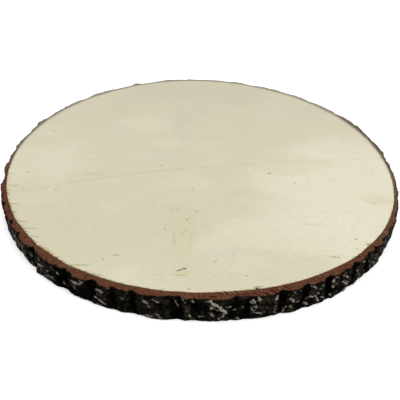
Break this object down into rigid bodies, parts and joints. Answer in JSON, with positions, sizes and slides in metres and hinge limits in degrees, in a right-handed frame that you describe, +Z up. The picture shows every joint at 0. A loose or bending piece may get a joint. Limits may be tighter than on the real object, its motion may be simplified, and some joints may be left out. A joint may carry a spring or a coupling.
{
  "type": "wood slice",
  "caption": "Round slice of pale, straight-grained wood with a furrowed dark bark edge, lying flat; a base, stand or board to set things on.",
  "frame": {"origin": "middle of the underside, on the surface that the slice lies on", "axes": "+Z up out of the sawn top face, +X along the wood's grain, -Y towards the side that the picture shows nearest"},
  "size_m": [0.2979, 0.2991, 0.019],
  "materials": {
    "pale_wood": "sawn and sanded, bare, dry and matt",
    "bark": "rough dry bark, dark outside and red-brown where it is sawn"
  },
  "bodies": {
    "root": {"wood_disc": "pale_wood", "bark_ring": "bark"}
  },
  "joints": []
}
